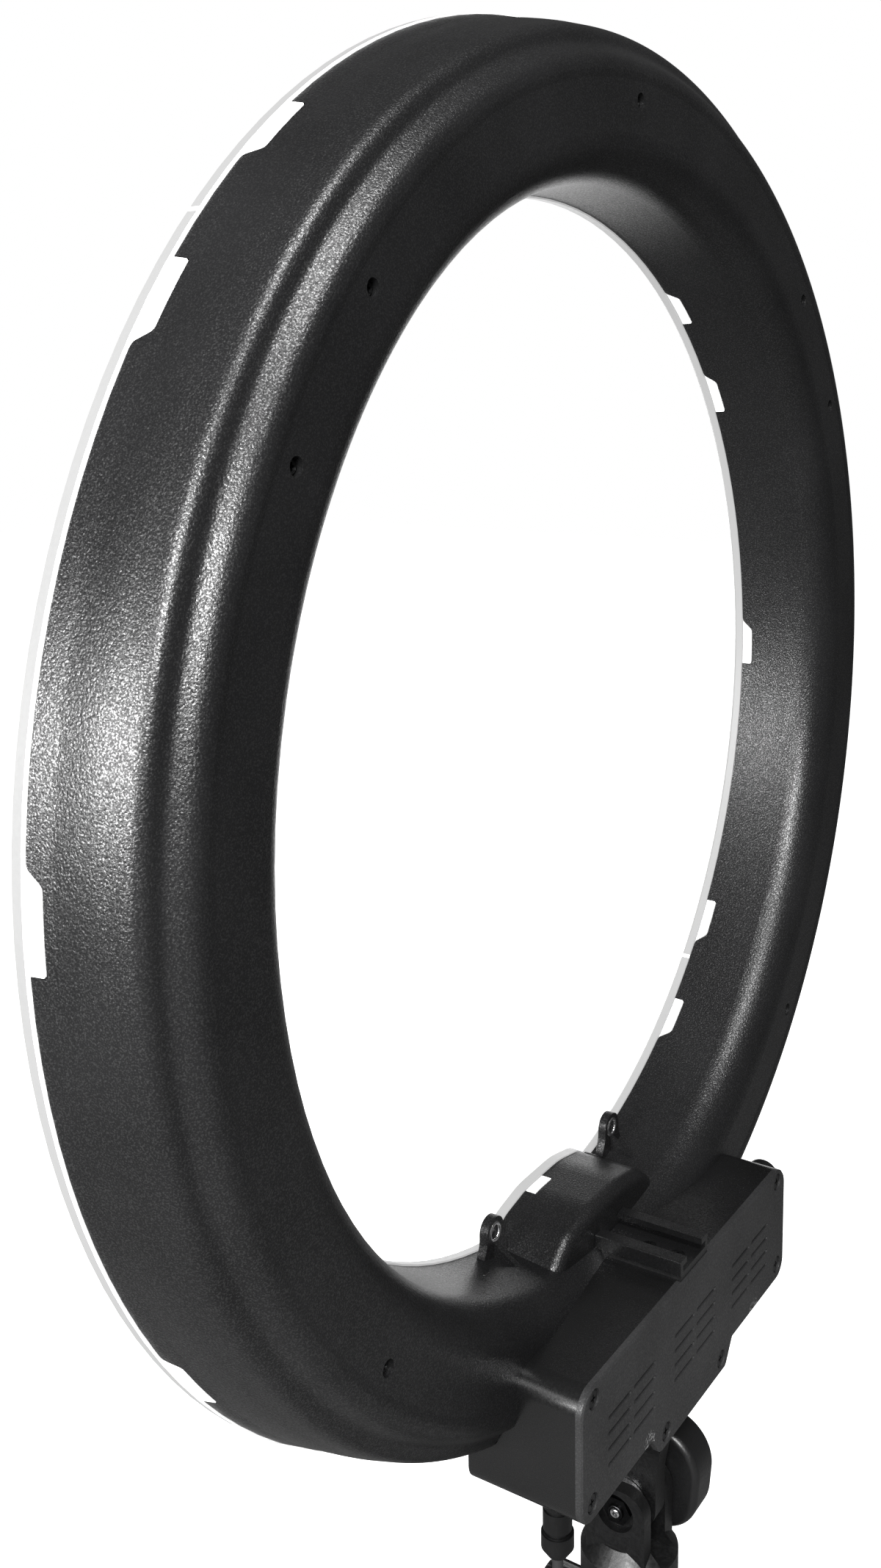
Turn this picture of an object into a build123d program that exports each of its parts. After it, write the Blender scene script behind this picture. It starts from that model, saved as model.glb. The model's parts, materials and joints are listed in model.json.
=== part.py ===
from build123d import *
import math
import os

os.makedirs("parts", exist_ok=True)

# Frame: the ring's axis lies along Y, its light faces -Y, its back faces +Y, +Z is up.
# Sizes are in millimetres, first measured from the ring's centre and front plane,
# then moved so that the origin is at the mouth of the stand socket.

# Ring housing
ring_outer_r = 240.0
ring_inner_r = 183.4
rim_step = 0.5
housing_outer_r = ring_outer_r - rim_step
housing_inner_r = 184.0
rim_outer_y = 5.4
rim_inner_y = 4.0
housing_back_y = 42.75
inner_back_r = 186.9
inner_round = 15.0
plateau_inset = 16.5
plateau_r = housing_outer_r - plateau_inset
plateau_round = 5.2
riser_foot_inset = 11.7
riser_foot_r = housing_outer_r - riser_foot_inset
riser_foot_y = 35.8
riser_foot_round = 1.7
shoulder_inset = 7.0
shoulder_r = housing_outer_r - shoulder_inset
shoulder_y = 35.8
shoulder_round = 4.5
housing_wall = 2.6
overrun = 2.0
touch = 0.3

# Bulge of the inner wall between the ears
bulge_top_z = -170.9
bulge_top_half = 12.0
bulge_top_round = 40.0
bulge_shoulder_z = -174.2
bulge_shoulder_half = 28.0
bulge_shoulder_round = 14.0
bulge_foot_z = -181.8
bulge_foot_half = 38.0
bulge_foot_round = 5.0
bulge_deep_z = -194.0
bulge_back_y = 31.8
bulge_edge_round = 4.5
bulge_clip_low_x = 0.5
bulge_clip_high_x = 13.0
bulge_clip_deep = 4.0

# Front diffuser and its clips
diffuser_wall = 2.0
diffuser_crown = 2.5
diffuser_edge_round = 1.2
outer_clips = ((0.8, 1), (38.5, -1), (53.8, -1), (126.2, 1), (141.5, 1), (179.2, -1),
               (218.5, -1), (233.5, -1), (307.0, 1), (324.5, 1))
inner_clips = ((0.5, 1), (37.5, 1), (53.0, 1), (127.0, -1), (142.5, -1), (180.2, -1),
               (218.9, 1), (233.7, 1), (307.0, -1), (322.0, -1))
outer_clip_width = 22.0
inner_clip_width = 15.8
clip_depth = 4.4
clip_ramp = 4.2
clip_gap = 0.35
clip_reach = 6.0
clip_ease = 3.0
clip_corner = 0.8
rim_gap = 0.05

# Housing screws, their bosses and the plate that they hold
housing_screw_circle_r = 211.2
housing_screw_angles = (30.5, 45.0, 90.0, 134.5, 149.5, 226.0, 270.0, 316.8)
boss_r = 5.0
screw_pocket_r = 2.6
screw_pocket_depth = 3.4
screw_head_r = 2.2
screw_head_height = 1.8
screw_shank_r = 1.5
screw_hole_r = 1.7
cross_width = 0.7
cross_length = 3.2
cross_depth = 1.0
base_ring_y = 20.0
base_ring_thick = 1.6
base_ring_inner_r = 189.5
base_ring_inset = 7.3
base_ring_outer_r = housing_outer_r - base_ring_inset

# Light boards and light chips
board_thick = 1.6
board_inner_r = 193.0
board_inset = 1.7
board_outer_r = base_ring_outer_r - board_inset
board_split_degrees = 1.2
board_count = 4
chip_size = 5.0
chip_thick = 1.4
chip_rows_r = (200.0, 211.6, 223.0)
chips_per_row = 48

# Ears with their gussets
ear_x = 44.1
ear_hole_z = -169.8
ear_hole_r = 2.8
ear_sink_r = 3.8
ear_sink_depth = 0.8
ear_r = 5.4
ear_y = 8.6
ear_thick = 3.2
ear_foot_half = 11.5
ear_foot_z = -185.5
ear_neck_z = -173.0
ear_neck_round = 9.0
gusset_thick = 2.2
gusset_top_z = -173.4
gusset_reach_y = 30.5
gusset_foot_z = -187.0
ear_pip_r = 2.4
ear_pip_height = 1.2
ear_pip_x = -33.0
ear_pip_z = -179.6

# Control box
box_half = 85.0
box_top_z = -188.2
box_bottom_z = -235.0
box_front_y = 24.0
box_wall = 2.6
box_top_round = 8.0
box_bottom_round = 7.0
cover_thick = 2.5
cover_back_y = 66.4
tab_half = 28.0
tab_slope = 6.0
tab_bottom_z = -243.6
tab_round = 3.0
block_front_y = 42.0
cover_edge_round = 0.6
cover_screw_places = ((77.0, -192.6), (78.0, -228.6), (23.5, -238.0))
cover_boss_r = 4.2
cover_boss_depth = 16.0
cover_pocket_r = 3.4
cover_pocket_depth = 1.4
cover_screw_head_r = 2.9
cover_screw_head_height = 1.0
cover_screw_length = 10.0

# Vent slots in the cover
vent_group_x = (-50.0, 0.0, 50.0)
vent_column_offset = 9.2
vent_length = 16.4
vent_height = 1.5
vent_top_z = -205.6
vent_pitch = 5.6
vent_rows = 4

# Cold shoe
shoe_half = 11.3
shoe_top_z = -180.9
shoe_channel_half = 9.35
shoe_channel_height = 2.3
shoe_lip_half = 6.3
shoe_lip_thick = 2.2
shoe_front_gap = 0.3
shoe_back_y = 65.6
shoe_groove = 0.8
shoe_edge_round = 0.5
shoe_screw_y = (48.0, 59.0)
shoe_screw_head_r = 2.6
shoe_screw_length = 6.0

# Electronics
driver_half = 58.0
driver_top_z = -197.5
driver_bottom_z = -228.0
driver_y = 48.0
post_r = 3.2
post_places = ((-46.0, -203.0), (46.0, -203.0), (-12.0, -222.0), (12.0, -222.0))
sink_half = 16.0
sink_height = 10.0
sink_base = 2.0
sink_fin = 1.6
sink_fin_count = 5
sink_depth_half = 9.0
sink_x = -30.0
sink_z = -212.0
capacitor_r = 5.0
capacitor_height = 11.0
capacitor_places = ((8.0, -206.0), (20.0, -206.0), (14.0, -217.5))
inductor_r = 7.0
inductor_hole_r = 3.0
inductor_height = 7.0
inductor_place = (36.0, -215.0)
wire_r = 0.9
wire_x = (30.0, 34.0)
wire_z = -201.0
wire_hole_r = 4.2

# Dimmer and power switch on the box's far side
dimmer_y = 53.8
dimmer_z = -201.2
dimmer_knob_r = 6.8
dimmer_knob_length = 9.0
dimmer_knob_gap = 0.4
dimmer_knob_round = 0.8
dimmer_skirt_r = 7.4
dimmer_skirt = 1.4
dimmer_mark_width = 0.9
dimmer_mark_depth = 0.4
dimmer_shaft_r = 3.0
dimmer_shaft_fit = 0.05
dimmer_bushing_r = 4.0
dimmer_bushing_length = 10.0
dimmer_body_r = 7.0
dimmer_body_length = 8.0
rocker_y = 53.8
rocker_z = -217.5
rocker_half_y = 6.2
rocker_half_z = 4.4
rocker_gap = 0.5
rocker_frame = 1.3
rocker_frame_proud = 1.0
rocker_proud = 2.6
rocker_inset = 2.4
rocker_pivot_depth = 1.0
rocker_tilt = 7.0
rocker_pin_r = 1.2
rocker_pin_fit = 0.05
rocker_pin_reach = 0.9
switch_depth = 13.0

# Tilt joint, its fork and the stand socket
pivot_y = 40.5
pivot_z = -289.0
cheek_r = 12.0
cheek_top = 9.6
cheek_round = 8.6
fork_half = 12.0
slot_high_x = 6.5
slot_low_x = -5.5
tongue_high_x = 2.8
tongue_low_x = -5.2
slot_floor_z = -309.0
flare_z = -303.5
flare_drop = 6.0
sleeve_r = 18.3
flare_top_r = 13.0
sleeve_round = 1.2
socket_mouth_z = -378.0
socket_depth = 60.0
socket_r = 8.1
bolt_r = 3.0
bolt_fit = 0.05
bolt_head_r = 5.7
bolt_head_height = 2.4
bolt_recess_r = 7.5
bolt_recess_depth = 3.6
bolt_dome = 1.4
washer_r = 8.5
washer_gap = 0.2
washer_count = 3
neck_root_low_x = -9.0
neck_root_high_x = 6.0
neck_root_front_y = 31.0
neck_root_back_y = 58.0
neck_root_top_z = -236.0
neck_step_z = -239.6
neck_pocket_gap = 0.1
tongue_pin_r = 2.0
tongue_pin_y = 52.0
tongue_pin_z = -240.0
tongue_pin_low_x = -18.0
tongue_pin_high_x = 15.0

# Clamp knobs
knob_half = 21.0
knob_corner_r = 16.9
knob_turn = 40.0
knob_near_x = -13.5
knob_far_x = -29.0
knob_edge_round = 2.6
knob_insert_r = 5.2
knob_insert_length = 9.0
knob_tip_r = 3.4
knob_tip_length = 3.0
knob_dish_r = 9.0
knob_dish_depth = 1.6
knob_washer_thick = 1.2
knob_swing = 23.0
lock_z = -345.5
lock_screw_r = 3.0
lock_fit = 0.05
lock_knob_r = 12.0
lock_knob_length = 13.9
lock_knob_near = 21.6
lock_knob_round = 1.6
lock_flute_count = 12
lock_flute_r = 2.2
lock_collar_r = 7.0
lock_collar_length = 3.0
lock_tip_gap = 0.4

# Supply plug, lead and plug-in adapter
plug_x = 70.0
plug_y = 49.0
plug_r = 4.9
plug_collar_r = 5.5
plug_collar_drop = 16.2
plug_gap = 0.3
plug_body_length = 21.6
plug_cone_length = 3.1
plug_tip_r = 3.4
plug_groove_r = 4.3
plug_groove_width = 1.2
plug_groove_places = (6.4, 14.6)
plug_barrel_r = 2.75
plug_barrel_length = 9.0
jack_collar_r = 4.4
jack_hole_r = 4.5
jack_bore_r = 2.85
jack_half_x = 3.6
jack_half_y = 6.5
jack_height = 12.0
cord_r = 1.85
lead_run = 20.0
tail_run = 15.0
lead_shift_x = -4.0
lead_shift_y = 6.0
coil_mid_r = 20.0
coil_pitch = 4.8
coil_layers = 4
coil_turns_per_layer = 2.625
steps_per_turn = 8
tail_shift_x = 4.0
tail_shift_y = -7.0
tie_width = 5.0
tie_wall = 0.9
tie_gap = 0.5
tie_knot = 3.0
adapter_relief_length = 20.0
adapter_relief_r = 3.6
adapter_half_x = 17.0
adapter_half_y = 13.0
adapter_height = 56.0
adapter_round = 4.0
adapter_pin_gap = 12.7
adapter_pin_width = 6.3
adapter_pin_thick = 1.5
adapter_pin_length = 17.0
adapter_pin_round = 0.6

quarter_turn = 90.0
half_turn = 180.0
full_turn = 360.0


def along_x(face, low, high):
    """Face drawn in (y, z), carried from x = low to x = high."""
    return extrude(Plane.YZ.offset(low) * face, high - low)


def along_y(face, low, high):
    """Face drawn in (x, z), carried from y = low to y = high."""
    return extrude(Plane.XZ.offset(-high) * face, high - low)


def along_z(face, low, high):
    """Face drawn in (x, y), carried from z = low to z = high."""
    return extrude(Plane.XY.offset(low) * face, high - low)


def disc(u, v, radius):
    return Pos(u, v) * Circle(radius)


def block(u_low, u_high, v_low, v_high):
    """Rectangle between two corners."""
    centre = Pos((u_low + u_high) / 2, (v_low + v_high) / 2)
    return centre * Rectangle(u_high - u_low, v_high - v_low)


def outline(corners):
    """Closed face through corners, each given as first, second, rounding."""
    points = [(first, second) for first, second, _ in corners]
    radii = [radius for _, _, radius in corners]
    return make_face(FilletPolyline(*points, radius=radii, close=True))


def spun(face):
    return revolve(face, axis=Axis.Y, revolution_arc=full_turn)


def around_ring(angle, shape):
    """Turn a shape drawn at the ring's +X side to an angle towards +Z."""
    return Rot(0, -angle, 0) * shape


def save(name, shape):
    to_socket = Pos(0, -pivot_y, -socket_mouth_z)
    export_step(to_socket * shape, "parts/" + name + ".step")


def housing_outline():
    return outline([
        (housing_inner_r, rim_inner_y, 0),
        (inner_back_r, housing_back_y, inner_round),
        (plateau_r, housing_back_y, plateau_round),
        (riser_foot_r, riser_foot_y, riser_foot_round),
        (shoulder_r, shoulder_y, shoulder_round),
        (housing_outer_r, rim_outer_y, 0),
    ])


def cavity_outline():
    wall = housing_wall
    return outline([
        (housing_inner_r + wall, rim_inner_y - overrun, 0),
        (inner_back_r + wall, housing_back_y - wall, inner_round - wall),
        (plateau_r - wall, housing_back_y - wall, 0),
        (riser_foot_r - wall, riser_foot_y - wall, 0),
        (shoulder_r - wall, shoulder_y - wall, 0),
        (housing_outer_r - wall, rim_outer_y - overrun, 0),
    ])


def bulge_outline(grow):
    """Bulge seen along Y, larger all round by grow."""
    foot, shoulder = bulge_foot_half + grow, bulge_shoulder_half + grow / 2
    right = [
        (bulge_top_half, bulge_top_z + grow, bulge_top_round),
        (shoulder, bulge_shoulder_z + grow / 2, bulge_shoulder_round),
        (foot, bulge_foot_z, bulge_foot_round),
        (foot, bulge_deep_z, 0),
    ]
    left = [(-x, z, radius) for x, z, radius in reversed(right)]
    return outline(left + right)


def bulge_solid():
    solid = along_y(bulge_outline(0), rim_inner_y, bulge_back_y)
    back_edges = solid.faces().sort_by(Axis.Y)[-1].edges()
    top_back = [edge for edge in back_edges if edge.center().Z > bulge_foot_z]
    return fillet(top_back, bulge_edge_round)


def clip_outline(width, ramp, depth, edge_y):
    """Clip seen from outside the rim: across the rim, then back from its edge."""
    half = width / 2
    return outline([
        (-half, edge_y - overrun, 0),
        (half + 2 * ramp, edge_y - overrun, 0),
        (half + 2 * ramp, edge_y, 0),
        (half + ramp, edge_y, clip_ease),
        (half, edge_y + depth, clip_ease),
        (-half, edge_y + depth, clip_corner),
    ])


def clip_prism(face, angle, low_r, high_r, flip):
    """Carry a clip outline outward through the rim at an angle."""
    plane = Plane(origin=(low_r, 0, 0), x_dir=(0, 0, flip), z_dir=(1, 0, 0))
    face = plane * face if flip < 0 else plane * mirror(face, about=Plane.XZ)
    return around_ring(angle, extrude(face, high_r - low_r))


def bulge_clip(gap):
    """Space of the clip on the bulge, smaller all round by gap."""
    face = block(bulge_clip_low_x + gap, bulge_clip_high_x - gap, rim_inner_y - overrun,
                 rim_inner_y + clip_depth - gap)
    return along_z(face, bulge_top_z - bulge_clip_deep, bulge_top_z + overrun)


def clip_cuts():
    cuts = []
    for angle, side in outer_clips:
        face = clip_outline(outer_clip_width, clip_ramp, clip_depth, rim_outer_y)
        cuts.append(clip_prism(face, angle, housing_outer_r - clip_reach,
                               housing_outer_r + overrun, side))
    for angle, side in inner_clips:
        face = clip_outline(inner_clip_width, clip_ramp, clip_depth, rim_inner_y)
        cuts.append(clip_prism(face, angle, housing_inner_r - overrun,
                               housing_inner_r + clip_reach, side))
    return cuts


def ear_outline():
    top = ear_hole_z + ear_r
    return outline([
        (-ear_foot_half, ear_foot_z, 0),
        (-ear_r, ear_neck_z, ear_neck_round),
        (-ear_r, top, ear_r - touch),
        (ear_r, top, ear_r - touch),
        (ear_r, ear_neck_z, ear_neck_round),
        (ear_foot_half, ear_foot_z, 0),
    ])


def ear_solid(side):
    front = ear_y - ear_thick / 2
    back = ear_y + ear_thick / 2
    plate = along_y(Pos(side * ear_x, 0) * ear_outline(), front, back)
    rib_face = outline([
        (back - touch, gusset_top_z, 0),
        (gusset_reach_y, gusset_foot_z, 0),
        (back - touch, gusset_foot_z, 0),
    ])
    middle = side * ear_x
    return plate + along_x(rib_face, middle - gusset_thick / 2, middle + gusset_thick / 2)


def ear_pip():
    """Small round boss beside one ear."""
    back = ear_y + ear_thick / 2
    return along_y(disc(ear_pip_x, ear_pip_z, ear_pip_r), rim_inner_y, back + ear_pip_height)


def ear_holes(side):
    front = ear_y - ear_thick / 2
    back = ear_y + ear_thick / 2
    place = disc(side * ear_x, ear_hole_z, ear_hole_r)
    hole = along_y(place, front - overrun, back + overrun)
    sink = Pos(side * ear_x, back, ear_hole_z) * Rot(quarter_turn, 0, 0)
    cone = sink * Cone(ear_sink_r, ear_hole_r, ear_sink_depth,
                       align=(Align.CENTER, Align.CENTER, Align.MIN))
    return hole + cone


def on_screw_circle(angle):
    turn = math.radians(angle)
    return housing_screw_circle_r * math.cos(turn), housing_screw_circle_r * math.sin(turn)


def housing_bosses():
    inner_face = housing_back_y - housing_wall
    back_of_base = base_ring_y + base_ring_thick
    bosses = []
    for angle in housing_screw_angles:
        x, z = on_screw_circle(angle)
        bosses.append(along_y(disc(x, z, boss_r), back_of_base, inner_face + touch))
    return bosses


def housing_screw_cuts():
    back_of_base = base_ring_y + base_ring_thick
    cuts = []
    for angle in housing_screw_angles:
        x, z = on_screw_circle(angle)
        pocket_floor = housing_back_y - screw_pocket_depth
        pocket = along_y(disc(x, z, screw_pocket_r), pocket_floor, housing_back_y + overrun)
        hole = along_y(disc(x, z, screw_hole_r), back_of_base - overrun, housing_back_y)
        cuts.append(pocket + hole)
    return cuts


def back_housing():
    outer = spun(housing_outline()) + bulge_solid()
    outer = outer + [ear_solid(side) for side in (-1, 1)] + ear_pip()
    inner_bulge = along_y(bulge_outline(-housing_wall), rim_inner_y - overrun,
                          bulge_back_y - housing_wall)
    shell = outer - spun(cavity_outline()) - inner_bulge
    shell = shell - clip_cuts() - bulge_clip(0) - [ear_holes(side) for side in (-1, 1)]
    posts = [along_y(disc(x, z, post_r), housing_back_y - touch, driver_y)
             for x, z in post_places]
    shell = shell + housing_bosses() + posts
    wire_way = along_y(disc(sum(wire_x) / 2, wire_z, wire_hole_r),
                       housing_back_y - housing_wall - overrun, housing_back_y + overrun)
    return shell - housing_screw_cuts() - wire_way


def diffuser_body(inset, back_outer_y, back_inner_y):
    """Ring of the cover's section, set in from its surface by inset."""
    inner, outer = ring_inner_r + inset, ring_outer_r - inset
    edge = diffuser_edge_round
    front = inset
    middle = (inner + outer) / 2
    arc = ThreePointArc((inner + edge, front), (middle, front - diffuser_crown),
                        (outer - edge, front))
    sides = Polyline((outer - edge, front), (outer, front + edge), (outer, back_outer_y),
                     (inner, back_inner_y), (inner, front + edge), (inner + edge, front))
    return spun(make_face(arc + sides))


def clip_tabs():
    wall = housing_wall
    outer_slope = (housing_outer_r - shoulder_r) / (shoulder_y - rim_outer_y)
    inner_slope = (inner_back_r - housing_inner_r) / (housing_back_y - rim_inner_y)
    reach = clip_depth - clip_gap
    outer_low = housing_outer_r - outer_slope * reach
    inner_low = housing_inner_r + inner_slope * reach
    outer_band = spun(outline([
        (housing_outer_r - wall, rim_outer_y - touch, 0), (housing_outer_r, rim_outer_y - touch, 0),
        (outer_low, rim_outer_y + reach, 0), (outer_low - wall, rim_outer_y + reach, 0)]))
    inner_band = spun(outline([
        (housing_inner_r, rim_inner_y - touch, 0), (housing_inner_r + wall, rim_inner_y - touch, 0),
        (inner_low + wall, rim_inner_y + reach, 0), (inner_low, rim_inner_y + reach, 0)]))
    tabs = []
    for angle, side in outer_clips:
        face = clip_outline(outer_clip_width - clip_gap, clip_ramp - clip_gap,
                            reach, rim_outer_y)
        prism = clip_prism(face, angle, housing_outer_r - clip_reach,
                           housing_outer_r + overrun, side)
        tabs.append(outer_band & prism)
    for angle, side in inner_clips:
        face = clip_outline(inner_clip_width - clip_gap, clip_ramp - clip_gap,
                            reach, rim_inner_y)
        prism = clip_prism(face, angle, housing_inner_r - overrun,
                           housing_inner_r + clip_reach, side)
        tabs.append(inner_band & prism)
    band = bulge_outline(0) - bulge_outline(-wall)
    tabs.append(along_y(band, rim_inner_y - touch, rim_inner_y + reach) & bulge_clip(clip_gap))
    return tabs


def diffuser_cover():
    grow = housing_inner_r - ring_inner_r
    outer = diffuser_body(0, rim_outer_y - rim_gap, rim_inner_y - rim_gap)
    outer = outer + along_y(bulge_outline(grow), 0, rim_inner_y - rim_gap)
    inner = diffuser_body(diffuser_wall, rim_outer_y + overrun, rim_inner_y + overrun)
    inner = inner + along_y(bulge_outline(grow - diffuser_wall), diffuser_wall,
                            rim_inner_y + overrun)
    return outer - inner + clip_tabs()


def led_base_ring():
    band = Circle(base_ring_outer_r) - Circle(base_ring_inner_r)
    plate = along_y(band, base_ring_y, base_ring_y + base_ring_thick)
    for angle in housing_screw_angles:
        x, z = on_screw_circle(angle)
        plate = plate - along_y(disc(x, z, screw_shank_r), base_ring_y - overrun,
                                base_ring_y + base_ring_thick + overrun)
    return plate


def led_board(index):
    sweep_degrees = full_turn / board_count - board_split_degrees
    start = index * full_turn / board_count + board_split_degrees / 2
    face = outline([
        (board_inner_r, base_ring_y - board_thick, 0), (board_outer_r, base_ring_y - board_thick, 0),
        (board_outer_r, base_ring_y, 0), (board_inner_r, base_ring_y, 0)])
    sector = revolve(face, axis=Axis.Y, revolution_arc=sweep_degrees)
    board = Rot(0, -start - sweep_degrees, 0) * sector
    for angle in housing_screw_angles:
        x, z = on_screw_circle(angle)
        board = board - along_y(disc(x, z, boss_r), base_ring_y - board_thick - overrun,
                                base_ring_y + overrun)
    return board


def led_chips():
    """Square chips in rows, none on a board's joint or over a screw."""
    chips = []
    board_front = base_ring_y - board_thick
    half = chip_size / 2
    for radius in chip_rows_r:
        for index in range(chips_per_row):
            angle = (index + 1 / 2) * full_turn / chips_per_row
            turn = math.radians(angle)
            x, z = radius * math.cos(turn), radius * math.sin(turn)
            clear = min(math.dist((x, z), on_screw_circle(a)) for a in housing_screw_angles)
            if clear < boss_r + chip_size:
                continue
            face = block(radius - half, radius + half, -half, half)
            chips.append(around_ring(angle, along_y(face, board_front - chip_thick,
                                                    board_front)))
    return Compound(children=chips)


def cross_screw(head_r, head_height, shank_r, length):
    """Screw standing on the XY plane by its head's underside, head up, shank down."""
    head = Cylinder(head_r, head_height, align=(Align.CENTER, Align.CENTER, Align.MIN))
    head = fillet(head.edges().group_by(Axis.Z)[-1], head_height / 3)
    shank = Cylinder(shank_r, length, align=(Align.CENTER, Align.CENTER, Align.MAX))
    depth = min(cross_depth, head_height / 2)
    reach = min(cross_length, head_r)
    slot = Pos(0, 0, head_height - depth / 2) * (
        Box(reach, cross_width, depth) + Box(cross_width, reach, depth))
    return head + shank - slot


def facing_back(x, y, z, screw):
    """Stand a screw's head towards +Y."""
    return Pos(x, y, z) * Rot(-quarter_turn, 0, 0) * screw


def housing_screws():
    floor_y = housing_back_y - screw_pocket_depth
    length = floor_y - base_ring_y
    screws = []
    for angle in housing_screw_angles:
        x, z = on_screw_circle(angle)
        screw = cross_screw(screw_head_r, screw_head_height, screw_shank_r, length)
        screws.append(facing_back(x, floor_y, z, screw))
    return Compound(children=screws)


def box_outline(inset):
    top, low = box_top_z - inset, box_bottom_z + inset
    half = box_half - inset
    return outline([
        (-half, low, box_bottom_round - inset), (half, low, box_bottom_round - inset),
        (half, top, box_top_round - inset), (-half, top, box_top_round - inset)])


def cover_outline():
    """Back of the control box with the tab below its middle."""
    half, foot = box_half, tab_half + tab_slope
    return outline([
        (-half, box_bottom_z, box_bottom_round),
        (-foot, box_bottom_z, 0),
        (-tab_half, tab_bottom_z, tab_round), (tab_half, tab_bottom_z, tab_round),
        (foot, box_bottom_z, 0),
        (half, box_bottom_z, box_bottom_round),
        (half, box_top_z, box_top_round), (-half, box_top_z, box_top_round)])


def tab_outline():
    foot = tab_half + tab_slope
    return outline([
        (-foot, box_bottom_z, 0), (-tab_half, tab_bottom_z, tab_round),
        (tab_half, tab_bottom_z, tab_round), (foot, box_bottom_z, 0),
        (foot, box_bottom_z + box_wall, 0), (-foot, box_bottom_z + box_wall, 0)])


def cover_places():
    return [(side * x, z) for x, z in cover_screw_places for side in (-1, 1)]


def cover_screw_ways(shank_r):
    """Pocket and shank hole of each cover screw."""
    floor_y = cover_back_y - cover_pocket_depth
    cuts = []
    for x, z in cover_places():
        cuts.append(along_y(disc(x, z, cover_pocket_r), floor_y, cover_back_y + overrun))
        cuts.append(along_y(disc(x, z, shank_r), floor_y - cover_screw_length, cover_back_y))
    return cuts


def control_box():
    rim_y = cover_back_y - cover_thick
    outer = along_y(box_outline(0), box_front_y, rim_y)
    inner = along_y(box_outline(box_wall), box_front_y + box_wall, rim_y + overrun)
    shell = outer - inner
    bosses = []
    for x, z in cover_places():
        if z > box_bottom_z:
            bosses.append(along_y(disc(x, z, cover_boss_r), rim_y - cover_boss_depth, rim_y))
    shell = shell + along_y(tab_outline(), block_front_y, rim_y)
    shell = shell + [boss & outer for boss in bosses]
    ring_space = spun(outline([
        (0, rim_inner_y, 0), (0, bulge_back_y, 0), (housing_inner_r, bulge_back_y, 0),
        (housing_inner_r, rim_inner_y, 0)]))
    shell = shell - spun(housing_outline()) - ring_space - spun(cavity_outline())
    shell = shell - bulge_solid() - cover_screw_ways(screw_shank_r)
    shell = shell - shoe_screw_holes() - tongue_pocket() - side_openings()
    jack_way = along_z(disc(plug_x, plug_y, jack_hole_r), box_bottom_z - overrun,
                       box_bottom_z + box_wall + overrun)
    parts = (shell - jack_way).solids().sort_by(SortBy.VOLUME)
    return parts[-1]


def side_openings():
    """Dimmer shaft hole and switch opening in the box's -X wall."""
    low, high = -box_half - overrun, -box_half + box_wall + overrun
    shaft = along_x(disc(dimmer_y, dimmer_z, dimmer_shaft_r + touch), low, high)
    half_y, half_z = rocker_half_y + rocker_gap + rocker_frame, rocker_half_z + rocker_gap + rocker_frame
    switch = along_x(block(rocker_y - half_y, rocker_y + half_y, rocker_z - half_z,
                           rocker_z + half_z), low, high)
    return [shaft, switch]


def control_box_cover():
    rim_y = cover_back_y - cover_thick
    plate = along_y(cover_outline(), rim_y, cover_back_y)
    plate = chamfer(plate.faces().sort_by(Axis.Y)[-1].edges(), cover_edge_round)
    slots = []
    for group in vent_group_x:
        for column in (-vent_column_offset, vent_column_offset):
            for row in range(vent_rows):
                slot = Pos(group + column, vent_top_z - row * vent_pitch)
                slot = slot * SlotOverall(vent_length, vent_height)
                slots.append(along_y(slot, rim_y - overrun, cover_back_y + overrun))
    return plate - slots - cover_screw_ways(screw_shank_r)


def cover_screws():
    floor_y = cover_back_y - cover_pocket_depth
    screw = cross_screw(cover_screw_head_r, cover_screw_head_height, screw_shank_r,
                        cover_screw_length)
    return Compound(children=[facing_back(x, floor_y, z, screw) for x, z in cover_places()])


def shoe_floor_z():
    return shoe_top_z - shoe_lip_thick - shoe_channel_height


def cold_shoe():
    lip_under = shoe_top_z - shoe_lip_thick
    half, inner, lip = shoe_half, shoe_channel_half, shoe_lip_half
    waist = (box_top_z + shoe_floor_z()) / 2
    face = outline([
        (-half, box_top_z, 0), (half, box_top_z, 0), (half, waist - shoe_groove, 0),
        (half - shoe_groove, waist, 0), (half, waist + shoe_groove, 0),
        (half, shoe_top_z, shoe_edge_round), (lip, shoe_top_z, 0), (lip, lip_under, 0),
        (inner, lip_under, 0), (inner, shoe_floor_z(), 0), (-inner, shoe_floor_z(), 0),
        (-inner, lip_under, 0), (-lip, lip_under, 0), (-lip, shoe_top_z, 0),
        (-half, shoe_top_z, shoe_edge_round), (-half, waist + shoe_groove, 0),
        (shoe_groove - half, waist, 0), (-half, waist - shoe_groove, 0)])
    front = bulge_back_y + shoe_front_gap
    bar = along_y(face, front, shoe_back_y)
    bar = bar - spun(housing_outline())
    for y in shoe_screw_y:
        bar = bar - along_z(disc(0, y, shoe_screw_head_r), shoe_floor_z() - cover_screw_head_height,
                            shoe_floor_z() + overrun)
        bar = bar - along_z(disc(0, y, screw_shank_r), box_top_z - overrun, shoe_floor_z())
    return bar


def shoe_screw_holes():
    low = shoe_floor_z() - cover_screw_head_height - shoe_screw_length - box_wall
    return [along_z(disc(0, y, screw_shank_r), low, box_top_z + overrun) for y in shoe_screw_y]


def shoe_screws():
    seat = shoe_floor_z() - cover_screw_head_height
    screw = cross_screw(shoe_screw_head_r, cover_screw_head_height, screw_shank_r,
                        seat - box_top_z + shoe_screw_length)
    return Compound(children=[Pos(0, y, seat) * screw for y in shoe_screw_y])


def driver_board():
    face = block(-driver_half, driver_half, driver_bottom_z, driver_top_z)
    return along_y(face, driver_y, driver_y + board_thick)


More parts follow.
